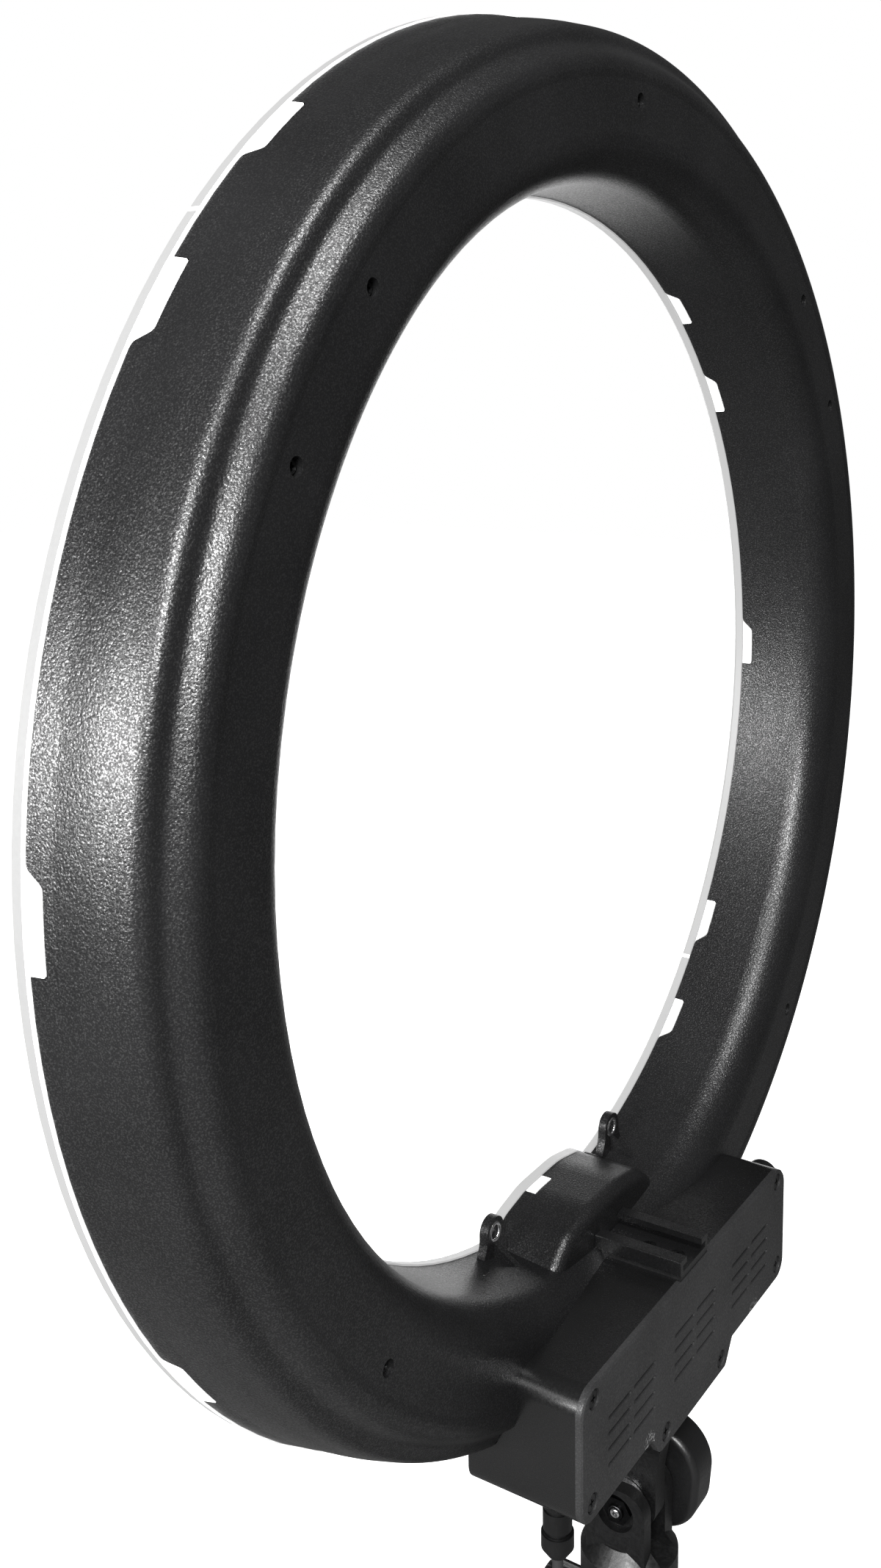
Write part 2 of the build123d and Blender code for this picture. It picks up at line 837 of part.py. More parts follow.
def heat_sink():
    back = driver_y + board_thick
    face = block(sink_x - sink_half, sink_x + sink_half, sink_z - sink_depth_half,
                 sink_z + sink_depth_half)
    base = along_y(face, back, back + sink_base)
    span = 2 * sink_half - sink_fin
    fins = []
    for index in range(sink_fin_count):
        low = sink_x - sink_half + span * index / (sink_fin_count - 1)
        fin = block(low, low + sink_fin, sink_z - sink_depth_half, sink_z + sink_depth_half)
        fins.append(along_y(fin, back, back + sink_height))
    return base + fins


def capacitors():
    back = driver_y + board_thick
    cans = []
    for x, z in capacitor_places:
        can = along_y(disc(x, z, capacitor_r), back, back + capacitor_height)
        cans.append(fillet(can.edges().group_by(Axis.Y)[-1], touch))
    return Compound(children=cans)


def inductor():
    back = driver_y + board_thick
    x, z = inductor_place
    ring = along_y(disc(x, z, inductor_r) - disc(x, z, inductor_hole_r), back,
                   back + inductor_height)
    return fillet(ring.edges().group_by(Axis.Y)[-1], inductor_height / 4)


def led_wires():
    back_of_base = base_ring_y + base_ring_thick
    wires = [along_y(disc(x, wire_z, wire_r), back_of_base, driver_y) for x in wire_x]
    return Compound(children=wires)


def dimmer_body():
    """Round control body behind a bushing, bored for the shaft."""
    wall = -box_half + box_wall
    body_x = wall + dimmer_bushing_length
    bushing = along_x(disc(dimmer_y, dimmer_z, dimmer_bushing_r), wall, body_x)
    body = along_x(disc(dimmer_y, dimmer_z, dimmer_body_r), body_x, body_x + dimmer_body_length)
    bore = disc(dimmer_y, dimmer_z, dimmer_shaft_r + dimmer_shaft_fit)
    return bushing + body - along_x(bore, wall - overrun, body_x + dimmer_body_length + overrun)


def dimmer_shaft():
    inner_end = -box_half + box_wall + dimmer_bushing_length + dimmer_body_length / 2
    outer_end = -box_half - dimmer_knob_gap - dimmer_knob_length / 2
    return along_x(disc(dimmer_y, dimmer_z, dimmer_shaft_r), outer_end, inner_end)


def dimmer_knob():
    near = -box_half - dimmer_knob_gap
    far = near - dimmer_knob_length
    body = along_x(disc(dimmer_y, dimmer_z, dimmer_knob_r), far, near)
    body = fillet(body.edges().group_by(Axis.X)[0], dimmer_knob_round)
    body = body + along_x(disc(dimmer_y, dimmer_z, dimmer_skirt_r), near - dimmer_skirt, near)
    mark = block(dimmer_y - dimmer_mark_width / 2, dimmer_y + dimmer_mark_width / 2,
                 dimmer_z, dimmer_z + dimmer_knob_r)
    body = body - along_x(mark, far - overrun, far + dimmer_mark_depth)
    return body - along_x(disc(dimmer_y, dimmer_z, dimmer_shaft_r), near - dimmer_knob_length / 2,
                          near + overrun)


def switch_body():
    half_y, half_z = rocker_half_y + rocker_gap, rocker_half_z + rocker_gap
    frame_y, frame_z = half_y + rocker_frame, half_z + rocker_frame
    outer_x = -box_half
    inner_x = outer_x + switch_depth
    sleeve = along_x(block(rocker_y - frame_y, rocker_y + frame_y, rocker_z - frame_z,
                           rocker_z + frame_z), outer_x, inner_x)
    flange_y, flange_z = frame_y + rocker_frame / 2, frame_z + rocker_frame / 2
    flange = along_x(block(rocker_y - flange_y, rocker_y + flange_y, rocker_z - flange_z,
                           rocker_z + flange_z), outer_x - rocker_frame_proud, outer_x)
    well = along_x(block(rocker_y - half_y, rocker_y + half_y, rocker_z - half_z,
                         rocker_z + half_z), outer_x - overrun, inner_x - rocker_frame)
    reach = frame_z + overrun
    pin_way = along_z(disc(rocker_pivot_x(), rocker_y, rocker_pin_r + rocker_pin_fit),
                      rocker_z - reach, rocker_z + reach)
    return sleeve + flange - well - pin_way


def rocker_pivot_x():
    return -box_half + rocker_pivot_depth


def power_rocker():
    """Rocker tilted to its off side about a pivot along Z."""
    pivot = rocker_pivot_x()
    proud = -box_half - rocker_frame_proud - rocker_proud
    half_y = rocker_half_y
    face = Polyline((pivot + rocker_inset, rocker_y - half_y / 2), (pivot, rocker_y - half_y),
                    (proud, rocker_y - half_y), (proud + rocker_proud / 2, rocker_y),
                    (proud, rocker_y + half_y), (pivot, rocker_y + half_y),
                    (pivot + rocker_inset, rocker_y + half_y / 2), close=True)
    body = along_z(make_face(face), rocker_z - rocker_half_z, rocker_z + rocker_half_z)
    reach = rocker_half_z + rocker_gap + rocker_pin_reach
    body = body + along_z(disc(pivot, rocker_y, rocker_pin_r), rocker_z - reach, rocker_z + reach)
    centre = Pos(pivot, rocker_y, rocker_z)
    return centre * Rot(0, 0, rocker_tilt) * centre.inverse() * body


def dc_jack():
    inner_floor = box_bottom_z + box_wall
    face = block(plug_x - jack_half_x, plug_x + jack_half_x, plug_y - jack_half_y / 2,
                 plug_y + jack_half_y)
    body = along_z(face, inner_floor, inner_floor + jack_height)
    collar = along_z(disc(plug_x, plug_y, jack_collar_r), box_bottom_z, inner_floor)
    bore = along_z(disc(plug_x, plug_y, jack_bore_r), box_bottom_z - overrun,
                   inner_floor + jack_height - box_wall)
    return body + collar - bore - spun(housing_outline())


def tongue_outline():
    """Tongue seen along X: round about the pivot, wider at the box."""
    return outline([
        (neck_root_front_y, tab_bottom_z, 0), (neck_root_back_y, tab_bottom_z, 0),
        (pivot_y + cheek_r, pivot_z + cheek_r + overrun, cheek_r),
        (pivot_y + cheek_r, pivot_z - cheek_r, cheek_r - touch),
        (pivot_y - cheek_r, pivot_z - cheek_r, cheek_r - touch),
        (pivot_y - cheek_r, pivot_z + cheek_r + overrun, cheek_r)])


def root_block(gap):
    """Root of the tongue inside the tab, larger all round by gap."""
    low_z = tab_bottom_z - gap
    face = outline([
        (neck_root_front_y - gap, low_z, 0), (neck_root_back_y + gap, low_z, 0),
        (neck_root_back_y + gap, neck_root_top_z + gap, 0),
        (block_front_y + box_wall, neck_root_top_z + gap, 0),
        (block_front_y + box_wall, neck_step_z + gap, 0),
        (neck_root_front_y - gap, neck_step_z + gap, 0)])
    return along_x(face, neck_root_low_x - gap, neck_root_high_x + gap)


def tongue_pin():
    return along_x(disc(tongue_pin_y, tongue_pin_z, tongue_pin_r), tongue_pin_low_x,
                   tongue_pin_high_x)


def tongue_pocket():
    return [root_block(neck_pocket_gap), tongue_pin()]


def tilt_tongue():
    blade = along_x(tongue_outline(), tongue_low_x, tongue_high_x)
    root_z = pivot_z + cheek_r + washer_r + overrun
    taper_face = outline([
        (neck_root_low_x, tab_bottom_z, 0), (neck_root_high_x, tab_bottom_z, 0),
        (tongue_high_x, root_z, 0), (tongue_low_x, root_z, 0)])
    taper = along_y(taper_face, neck_root_front_y, neck_root_back_y) & along_x(
        tongue_outline(), neck_root_low_x, neck_root_high_x)
    body = blade + taper + root_block(0) - tongue_pin()
    return body - along_x(disc(pivot_y, pivot_z, bolt_r + bolt_fit), -fork_half, fork_half)


def cheek_outline(floor_z):
    return outline([
        (pivot_y - cheek_r, floor_z, 0), (pivot_y + cheek_r, floor_z, 0),
        (pivot_y + cheek_r, pivot_z + cheek_top, cheek_round),
        (pivot_y - cheek_r, pivot_z + cheek_top, cheek_round)])


def stand_bracket():
    """Fork with two cheeks above a flared sleeve for the stand's stud."""
    flare_low_z = flare_z - flare_drop
    fork = along_x(cheek_outline(flare_low_z), -fork_half, fork_half)
    slot_low_y, slot_high_y = pivot_y - sleeve_r - overrun, pivot_y + sleeve_r + overrun
    slot = along_x(block(slot_low_y, slot_high_y, slot_floor_z, pivot_z + cheek_r + overrun),
                   slot_low_x, slot_high_x)
    flare = Pos(0, pivot_y, flare_low_z) * Cone(
        sleeve_r, flare_top_r, flare_drop, align=(Align.CENTER, Align.CENTER, Align.MIN))
    sleeve = along_z(disc(0, pivot_y, sleeve_r), socket_mouth_z, flare_low_z)
    sleeve = fillet(sleeve.edges().group_by(Axis.Z)[0], sleeve_round)
    bore = along_z(disc(0, pivot_y, socket_r), socket_mouth_z - overrun,
                   socket_mouth_z + socket_depth)
    relief = along_x(block(slot_low_y, slot_high_y, pivot_z - knob_swing, pivot_z),
                     -sleeve_r - overrun, -fork_half - knob_washer_thick)
    body = fork + flare + sleeve - slot - bore - relief
    bolt_way = along_x(disc(pivot_y, pivot_z, bolt_r + bolt_fit), -fork_half - overrun,
                       fork_half + overrun)
    recess = along_x(disc(pivot_y, pivot_z, bolt_recess_r), fork_half - bolt_recess_depth,
                     fork_half + overrun)
    lock_way = along_y(disc(0, lock_z, lock_screw_r + lock_fit), pivot_y - sleeve_r - overrun,
                       pivot_y)
    return body - bolt_way - recess - lock_way


def tilt_bolt():
    head_seat = fork_half - bolt_recess_depth
    hexagon = Pos(pivot_y, pivot_z) * RegularPolygon(bolt_head_r, side_count=6)
    head = along_x(hexagon, head_seat, head_seat + bolt_head_height)
    dome = along_x(disc(pivot_y, pivot_z, bolt_r), head_seat + bolt_head_height,
                   head_seat + bolt_head_height + bolt_dome)
    dome = fillet(dome.edges().group_by(Axis.X)[-1], bolt_dome / 2)
    tip_x = knob_near_x - knob_insert_length - knob_tip_length + touch
    shank = along_x(disc(pivot_y, pivot_z, bolt_r), tip_x, head_seat)
    return head + dome + shank


def friction_washers():
    """Stack of steel washers between the tongue and the +X cheek."""
    span = slot_high_x - tongue_high_x - washer_gap
    thick = span / washer_count
    face = disc(pivot_y, pivot_z, washer_r) - disc(pivot_y, pivot_z, bolt_r + bolt_fit)
    washers = []
    for index in range(washer_count):
        low = slot_high_x - (index + 1) * thick
        washers.append(along_x(face, low + washer_gap / 2, low + thick))
    return Compound(children=washers)


def knob_washer():
    face = disc(pivot_y, pivot_z, washer_r) - disc(pivot_y, pivot_z, bolt_r + bolt_fit)
    return along_x(face, -fork_half - knob_washer_thick, -fork_half)


def tilt_knob():
    """Rounded square knob, dished on its outer face."""
    turned = Pos(pivot_y, pivot_z) * Rot(0, 0, knob_turn - half_turn / 4)
    face = turned * RectangleRounded(2 * knob_half, 2 * knob_half, knob_corner_r)
    body = along_x(face, knob_far_x, knob_near_x)
    body = fillet(body.edges().group_by(Axis.X)[0] + body.edges().group_by(Axis.X)[-1],
                  knob_edge_round)
    dish = along_x(disc(pivot_y, pivot_z, knob_dish_r), knob_far_x - overrun,
                   knob_far_x + knob_dish_depth)
    seat_x = knob_near_x - knob_insert_length
    hole = along_x(disc(pivot_y, pivot_z, knob_insert_r), seat_x, knob_near_x + overrun)
    tip = along_x(disc(pivot_y, pivot_z, knob_tip_r), seat_x - knob_tip_length, seat_x)
    return body - dish - hole - tip


def knob_insert():
    face = disc(pivot_y, pivot_z, knob_insert_r) - disc(pivot_y, pivot_z, bolt_r + bolt_fit)
    return along_x(face, knob_near_x - knob_insert_length, knob_near_x)


def lock_knob_face_y():
    return pivot_y - lock_knob_near


def lock_knob():
    near = lock_knob_face_y()
    far = near - lock_knob_length
    body = along_y(disc(0, lock_z, lock_knob_r), far, near)
    body = fillet(body.edges().group_by(Axis.Y)[0], lock_knob_round)
    flutes = []
    for index in range(lock_flute_count):
        turn = 2 * math.pi * index / lock_flute_count
        x = (lock_knob_r + lock_flute_r / 2) * math.cos(turn)
        z = lock_z + (lock_knob_r + lock_flute_r / 2) * math.sin(turn)
        flutes.append(along_y(disc(x, z, lock_flute_r), far - overrun, near + overrun))
    collar = along_y(disc(0, lock_z, lock_collar_r), near - touch, near + lock_collar_length)
    hole = along_y(disc(0, lock_z, lock_screw_r), near - lock_knob_length / 2,
                   near + lock_collar_length + overrun)
    return body - flutes + collar - hole


def lock_screw():
    inner_end = pivot_y - socket_r - lock_tip_gap
    outer_end = lock_knob_face_y() - lock_knob_length / 2
    return along_y(disc(0, lock_z, lock_screw_r), outer_end, inner_end)


def plug_top_z():
    return box_bottom_z - plug_gap


def plug_low_z():
    return plug_top_z() - plug_body_length - plug_cone_length


def dc_plug():
    """Round over-moulded plug with two grooves, its barrel up in the jack."""
    top = plug_top_z()
    body = along_z(disc(plug_x, plug_y, plug_r), top - plug_body_length, top)
    body = body + along_z(disc(plug_x, plug_y, plug_collar_r), top - plug_body_length,
                          top - plug_collar_drop)
    for drop in plug_groove_places:
        ring = disc(plug_x, plug_y, plug_r + overrun) - disc(plug_x, plug_y, plug_groove_r)
        body = body - along_z(ring, top - drop - plug_groove_width, top - drop)
    cone = Pos(plug_x, plug_y, top - plug_body_length) * Cone(
        plug_tip_r, plug_collar_r, plug_cone_length, align=(Align.CENTER, Align.CENTER, Align.MAX))
    barrel = along_z(disc(plug_x, plug_y, plug_barrel_r), top, top + plug_barrel_length)
    return body + cone + barrel


def coil_frame():
    """Coil centre (y, z), the x of its first layer and its outer radius."""
    outer = coil_mid_r + coil_pitch * coil_turns_per_layer / 2
    last_z = lead_points()[-1][2]
    return plug_y + lead_shift_y - outer, last_z - 2 * cord_r, plug_x + lead_shift_x, outer


def coil_point(turn):
    """Point at a count of turns from the start: spiral in and out, layer by layer."""
    centre_y, centre_z, first_x, outer = coil_frame()
    per_layer = coil_turns_per_layer + 1 / 2
    layer = min(int(turn / per_layer), coil_layers - 1)
    within = turn - layer * per_layer
    share = min(within / coil_turns_per_layer, 1)
    inward = share if layer % 2 == 0 else 1 - share
    radius = outer - coil_pitch * coil_turns_per_layer * inward
    climb = max(within - coil_turns_per_layer, 0) * 2
    climb = climb * climb * (3 - 2 * climb)
    x = first_x - coil_pitch * (layer + climb)
    angle = 2 * math.pi * turn
    return Vector(x, centre_y + radius * math.cos(angle), centre_z - radius * math.sin(angle))


def coil_turn_count():
    return coil_layers * coil_turns_per_layer + (coil_layers - 1) / 2


def coil_path():
    """Pairs of tangent arcs through points of the coil, straight at both ends."""
    total = coil_turn_count()
    count = round(total * steps_per_turn)
    small = total / count / 100
    points, tangents = [], []
    for index in range(count + 1):
        turn = total * index / count
        before, after = max(turn - small, 0), min(turn + small, total)
        points.append(coil_point(turn))
        tangents.append((coil_point(after) - coil_point(before)).normalized())
    tangents[0] = tangents[-1] = Vector(0, 0, -1)
    edges = [Edge.make_line(points[0] - tangents[0] * 2 * cord_r, points[0])]
    for start, end, leave, arrive in zip(points, points[1:], tangents, tangents[1:]):
        chord, both = end - start, leave + arrive
        a = 2 * (leave.dot(arrive) - 1)
        b = -2 * chord.dot(both)
        c = chord.dot(chord)
        reach = (-b - math.sqrt(b * b - 4 * a * c)) / (2 * a)
        middle = (start + leave * reach + end - arrive * reach) / 2
        edges.append(Edge.make_tangent_arc(start, leave, middle))
        edges.append(Edge.make_tangent_arc(middle, edges[-1] % 1, end))
    edges.append(Edge.make_line(points[-1], points[-1] + tangents[-1] * 2 * cord_r))
    return Wire(edges)


def tube(path, radius):
    start = path @ 0
    along = path % 0
    return sweep(Plane(origin=start, z_dir=along) * Circle(radius), path=path)


def power_cord_coil():
    return tube(coil_path(), cord_r)


def lead_points():
    low = plug_low_z()
    x, y = plug_x + lead_shift_x, plug_y + lead_shift_y
    return [(plug_x, plug_y, low), (plug_x, plug_y, low - lead_run),
            (x, y, low - 2 * lead_run), (x, y, low - 3 * lead_run)]


def tail_points():
    end = coil_point(coil_turn_count())
    x, y, top = end.X, end.Y, end.Z - 2 * cord_r
    far_x, far_y = x + tail_shift_x, y + tail_shift_y
    return [(x, y, top), (x, y, top - tail_run), (far_x, far_y, top - 2 * tail_run),
            (far_x, far_y, top - 3 * tail_run)]


def corner_radii(points):
    """0.45 of the shorter run over the tangent of half the turn, at each corner."""
    run_share = 0.45
    radii = []
    for before, here, after in zip(points, points[1:], points[2:]):
        first, second = Vector(*here) - Vector(*before), Vector(*after) - Vector(*here)
        half = math.radians(first.get_angle(second)) / 2
        radii.append(run_share * min(first.length, second.length) / math.tan(half))
    return radii


def cord_tube(name, points):
    radii = corner_radii(points)
    path = FilletPolyline(*points, radius=radii).wire()
    solid = tube(path, cord_r)
    expected = math.pi * cord_r ** 2 * path.length
    print(name, "corner radii", [round(r, 1) for r in radii], "length", round(path.length, 1),
          "volume over section times length", round(solid.volume / expected, 4))
    return solid


def coil_least_gap():
    """Least distance between turns of the coil, measured on points."""
    total = coil_turn_count()
    count = round(total * 40)
    points = [coil_point(total * index / count) for index in range(count + 1)]
    least = min((points[i] - points[j]).length for i in range(len(points))
                for j in range(i + 20, len(points)))
    return least - 2 * cord_r


def cable_tie():
    """Band round the coil's section on its -Y side."""
    centre_y, centre_z, first_x, outer = coil_frame()
    spread = coil_pitch * coil_turns_per_layer
    low_y = centre_y - outer - cord_r - tie_gap
    high_y = centre_y - outer + spread + cord_r + tie_gap
    high_x = first_x + cord_r + tie_gap
    low_x = first_x - coil_pitch * (coil_layers - 1) - cord_r - tie_gap
    hole = block(low_x, high_x, low_y, high_y)
    outer_face = block(low_x - tie_wall, high_x + tie_wall, low_y - tie_wall, high_y + tie_wall)
    knot = block(low_x - tie_knot, low_x - tie_wall / 2, low_y, low_y + tie_width)
    low_z = centre_z - tie_width / 2
    return along_z(outer_face - hole + knot, low_z, low_z + tie_width)


def adapter_top():
    x, y, z = tail_points()[-1]
    return x, y, z - adapter_relief_length


def adapter_case():
    x, y, top = adapter_top()
    face = Pos(x, y) * RectangleRounded(2 * adapter_half_x, 2 * adapter_half_y, adapter_round)
    body = along_z(face, top - adapter_height, top)
    body = fillet(body.edges().group_by(Axis.Z)[-1], adapter_round / 2)
    relief = Pos(x, y, top - touch) * Cone(
        adapter_relief_r, cord_r + touch, adapter_relief_length + touch,
        align=(Align.CENTER, Align.CENTER, Align.MIN))
    return body + relief


def adapter_pins():
    x, y, top = adapter_top()
    low = top - adapter_height
    pins = []
    for side in (-1, 1):
        middle = x + side * adapter_pin_gap / 2
        face = block(middle - adapter_pin_thick / 2, middle + adapter_pin_thick / 2,
                     y - adapter_pin_width / 2, y + adapter_pin_width / 2)
        pin = along_z(face, low - adapter_pin_length, low)
        pins.append(chamfer(pin.edges().group_by(Axis.Z)[0], adapter_pin_round))
    return Compound(children=pins)


save("back_housing", back_housing())
save("diffuser_cover", diffuser_cover())
save("led_base_ring", led_base_ring())
for number in range(board_count):
    save("led_board_" + str(number + 1), led_board(number))
save("led_chips", led_chips())
save("housing_screws", housing_screws())
save("control_box", control_box())
save("control_box_cover", control_box_cover())
save("cover_screws", cover_screws())
save("cold_shoe", cold_shoe())
save("shoe_screws", shoe_screws())
save("driver_board", driver_board())
save("heat_sink", heat_sink())
save("capacitors", capacitors())
save("inductor", inductor())
save("led_wires", led_wires())
save("dimmer_body", dimmer_body())
save("dimmer_shaft", dimmer_shaft())
save("dimmer_knob", dimmer_knob())
save("switch_body", switch_body())
save("power_rocker", power_rocker())
save("dc_jack", dc_jack())
save("tilt_tongue", tilt_tongue())
save("tongue_pin", tongue_pin())
save("stand_bracket", stand_bracket())
save("tilt_bolt", tilt_bolt())
save("friction_washers", friction_washers())
save("knob_washer", knob_washer())
save("tilt_knob", tilt_knob())
save("knob_insert", knob_insert())
save("lock_knob", lock_knob())
save("lock_screw", lock_screw())
save("dc_plug", dc_plug())
save("power_cord_lead", cord_tube("lead", lead_points()))
save("power_cord_coil", power_cord_coil())
save("power_cord_tail", cord_tube("tail", tail_points()))
save("cable_tie", cable_tie())
save("adapter_case", adapter_case())
save("adapter_pins", adapter_pins())
print("coil least gap", round(coil_least_gap(), 2), "turns", coil_turn_count(),
      "length", round(coil_path().length, 1))
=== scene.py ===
import json
import math

import bpy
import numpy as np
from mathutils import Matrix, Vector


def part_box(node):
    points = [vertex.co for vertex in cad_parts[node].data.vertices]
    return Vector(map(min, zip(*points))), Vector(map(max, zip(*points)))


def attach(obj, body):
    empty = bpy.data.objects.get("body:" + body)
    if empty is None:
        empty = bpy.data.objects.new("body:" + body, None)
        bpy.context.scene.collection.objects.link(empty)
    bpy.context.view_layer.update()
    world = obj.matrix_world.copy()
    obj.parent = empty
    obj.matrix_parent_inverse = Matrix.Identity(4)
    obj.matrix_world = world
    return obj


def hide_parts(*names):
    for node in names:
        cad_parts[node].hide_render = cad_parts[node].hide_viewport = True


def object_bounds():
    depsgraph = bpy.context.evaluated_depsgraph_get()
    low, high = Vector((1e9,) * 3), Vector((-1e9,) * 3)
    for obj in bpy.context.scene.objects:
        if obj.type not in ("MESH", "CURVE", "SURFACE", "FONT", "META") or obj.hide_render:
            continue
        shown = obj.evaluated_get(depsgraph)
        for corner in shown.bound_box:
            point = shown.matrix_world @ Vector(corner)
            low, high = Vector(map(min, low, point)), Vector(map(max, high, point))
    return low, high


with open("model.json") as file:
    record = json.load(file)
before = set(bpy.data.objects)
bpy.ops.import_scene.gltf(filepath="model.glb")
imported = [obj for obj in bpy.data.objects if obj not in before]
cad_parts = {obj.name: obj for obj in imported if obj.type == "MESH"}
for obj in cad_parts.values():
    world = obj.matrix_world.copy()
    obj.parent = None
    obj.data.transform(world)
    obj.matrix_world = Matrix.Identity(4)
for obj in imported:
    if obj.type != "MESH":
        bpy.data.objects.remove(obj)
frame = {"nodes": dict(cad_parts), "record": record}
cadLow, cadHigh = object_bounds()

nodes = frame["nodes"]
ringShift = Vector((0.0, -0.0405, 0.378))  # ring centre at its front plane, in the row frame

# Camera, placed from the ring's centre; its rows are the axes of the view.
camera = {
    "rows": ((-0.54719, -0.14851, 0.82373),
             (0.83685, -0.07822, 0.54181),
             (-0.01603, 0.98581, 0.16708)),
    "place": (0.47525, 0.27699, 0.13435),
    "sensor": 36.0, "lens": 36.25, "shiftX": -0.0030, "shiftY": -0.1075,
    "near": 0.01, "far": 50.0,
}


def addObject(name, data):
    obj = bpy.data.objects.new(name, data)
    bpy.context.collection.objects.link(obj)
    return obj


def makeCamera():
    c = camera
    data = bpy.data.cameras.new("camera")
    data.sensor_fit = "AUTO"
    data.sensor_width = c["sensor"]
    data.lens = c["lens"]
    data.shift_x = c["shiftX"]
    data.shift_y = c["shiftY"]
    data.clip_start, data.clip_end = c["near"], c["far"]
    cam = addObject("camera", data)
    turn = Matrix([list(row) for row in c["rows"]]).to_4x4()
    cam.matrix_world = Matrix.Translation(Vector(c["place"]) + ringShift) @ turn
    bpy.context.scene.camera = cam


makeCamera()
print("stage: camera")

# Power cord: a lead from the plug, a coil in flat layers, and a tail. Places are from the ring's
# centre, and layers are wound inwards and outwards in turn.
cordSizes = {
    "radius": 0.00185, "plugX": 0.070, "plugY": 0.049, "plugLow": -0.260, "run": 0.020,
    "tailRun": 0.015, "leadX": -0.004, "leadY": 0.006, "midRadius": 0.020, "pitch": 0.0048,
    "layers": 4, "turnsPerLayer": 2.625, "tailX": 0.004, "tailY": -0.007, "pointsPerTurn": 16,
}


# Point of the coil after so many turns: its radius runs in or out by one pitch per turn, and in
# the half turn between two layers it climbs sideways by one pitch along a smooth step.
def coilPoint(turn, centre, firstX, outer):
    s = cordSizes
    perLayer = s["turnsPerLayer"] + 0.5
    layer = min(int(turn / perLayer), s["layers"] - 1)
    within = turn - layer * perLayer
    share = min(within / s["turnsPerLayer"], 1)
    inward = share if layer % 2 == 0 else 1 - share
    radius = outer - s["pitch"] * s["turnsPerLayer"] * inward
    climb = max(within - s["turnsPerLayer"], 0) * 2
    climb = climb * climb * (3 - 2 * climb)
    angle = 2 * math.pi * turn
    return (firstX - s["pitch"] * (layer + climb), centre[0] + radius * math.cos(angle),
            centre[1] - radius * math.sin(angle))


def cordRoute():
    s = cordSizes
    x, y, low, run = s["plugX"], s["plugY"], s["plugLow"], s["run"]
    farX, farY = x + s["leadX"], y + s["leadY"]
    points = [(x, y, low), (x, y, low - run),
              (farX, farY, low - 2 * run), (farX, farY, low - 3 * run)]
    outer = s["midRadius"] + s["pitch"] * s["turnsPerLayer"] / 2
    centre = (farY - outer, low - 3 * run - 2 * s["radius"])
    turns = s["layers"] * s["turnsPerLayer"] + (s["layers"] - 1) / 2
    count = round(turns * s["pointsPerTurn"])
    for index in range(count + 1):
        points.append(coilPoint(turns * index / count, centre, farX, outer))
    endX, endY, endZ = points[-1]
    top = endZ - 2 * s["radius"]
    step = s["tailRun"]
    tailX, tailY = endX + s["tailX"], endY + s["tailY"]
    points += [(endX, endY, top), (endX, endY, top - step),
               (tailX, tailY, top - 2 * step), (tailX, tailY, top - 3 * step)]
    return [Vector(p) + ringShift for p in points]


def makeCord():
    route = cordRoute()
    data = bpy.data.curves.new("power_cord", "CURVE")
    data.dimensions = "3D"
    line = data.splines.new("NURBS")
    line.points.add(len(route) - 1)
    for point, place in zip(line.points, route):
        point.co = (*place, 1)
        point.radius = cordSizes["radius"]
    line.order_u = 3
    line.use_endpoint_u = True
    line.resolution_u = 6
    data.bevel_depth = 1.0  # times each point's radius
    data.bevel_resolution = 4
    data.use_fill_caps = True
    return addObject("power_cord", data), route


cord, route = makeCord()
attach(cord, "head")
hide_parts("power_cord_lead", "power_cord_coil", "power_cord_tail")
print("stage: cord", len(route))

# Smooth skin over the housing's shoulder, cove and riser. Pairs are (radius, depth behind the
# front plane), angles are in degrees, and start and end leave out the part behind the box.
skinSizes = {
    "wallLow": (0.23821, 0.011), "wallHigh": (0.23327, 0.03245),
    "shoulderCentre": (0.22891, 0.0313), "shoulderRadius": 0.0045, "shoulderFrom": 13,
    "topCentre": (0.22005, 0.03755), "topRadius": 0.0052, "riserLean": 34.6,
    "plateauIn": 0.2165, "backY": 0.04275,
    "gap": 0.00045, "sink": 0.0001, "fadeWall": 0.014, "fadeBack": 0.003,
    "step": 0.00025, "smooth": 0.0017, "smoothReach": 3, "crown": 0.0003,
    "start": -68.0, "end": 248.0, "turns": 288, "shoulderPoints": 20, "topPoints": 16,
}


# Arc of a profile: centre + radius * (cos, sin) of the angle, from an angle up to 90 degrees.
def arcPoints(centre, radius, low, count):
    angle = np.radians(np.linspace(low, 90, count))
    return [(centre[0] + radius * math.cos(a), centre[1] + radius * math.sin(a)) for a in angle]


# Radius and depth of the skin as evenly spaced points: wall, shoulder arc, foot of the riser,
# upper arc and plateau.
def roughProfile():
    s = skinSizes
    lean = s["riserLean"]
    shoulder = arcPoints(s["shoulderCentre"], s["shoulderRadius"], s["shoulderFrom"],
                         s["shoulderPoints"])
    top = arcPoints(s["topCentre"], s["topRadius"], lean, s["topPoints"])
    ledgeY = shoulder[-1][1]
    foot = (top[0][0] + (top[0][1] - ledgeY) * math.tan(math.radians(lean)), ledgeY)
    line = np.array([s["wallLow"]] + shoulder + [foot] + top + [(s["plateauIn"], s["backY"])])
    lengths = np.concatenate([[0], np.cumsum(np.hypot(*np.diff(line, axis=0).T))])
    even = np.arange(0, lengths[-1], s["step"])
    return even, np.stack([np.interp(even, lengths, line[:, k]) for k in (0, 1)], axis=1)


